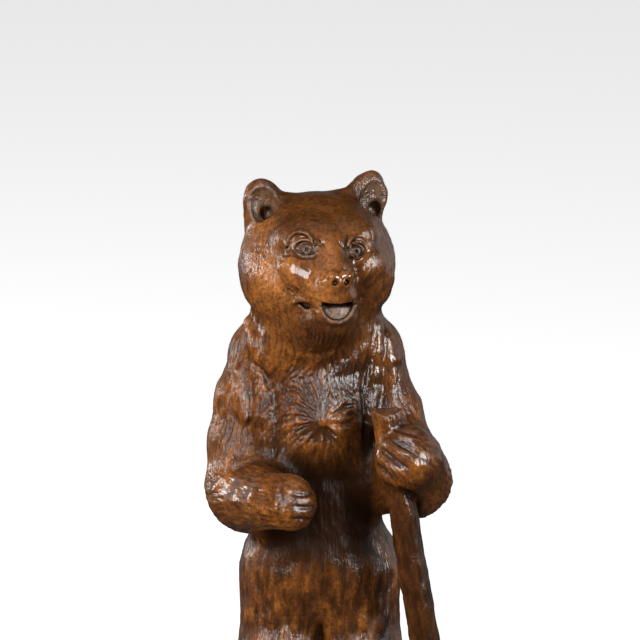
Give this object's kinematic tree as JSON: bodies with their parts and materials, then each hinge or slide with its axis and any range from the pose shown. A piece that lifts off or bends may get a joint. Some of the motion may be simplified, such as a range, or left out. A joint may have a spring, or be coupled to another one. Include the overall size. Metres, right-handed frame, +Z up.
{
  "type": "bear figurine",
  "caption": "Carved wooden bear standing upright on a low base, gripping a rough staff in its left paw, its right paw bent across its waist.",
  "frame": {"origin": "middle of the base's flat underside", "axes": "+Z up from the underside towards the ears, the bear faces -Y, its left side and the staff are towards +X"},
  "size_m": [0.1063, 0.0851, 0.2311],
  "materials": {
    "carved_wood": "varnished, glossy on the ridges and dull in the cuts"
  },
  "bodies": {
    "root": {"bear_carving": "carved_wood"}
  },
  "joints": []
}
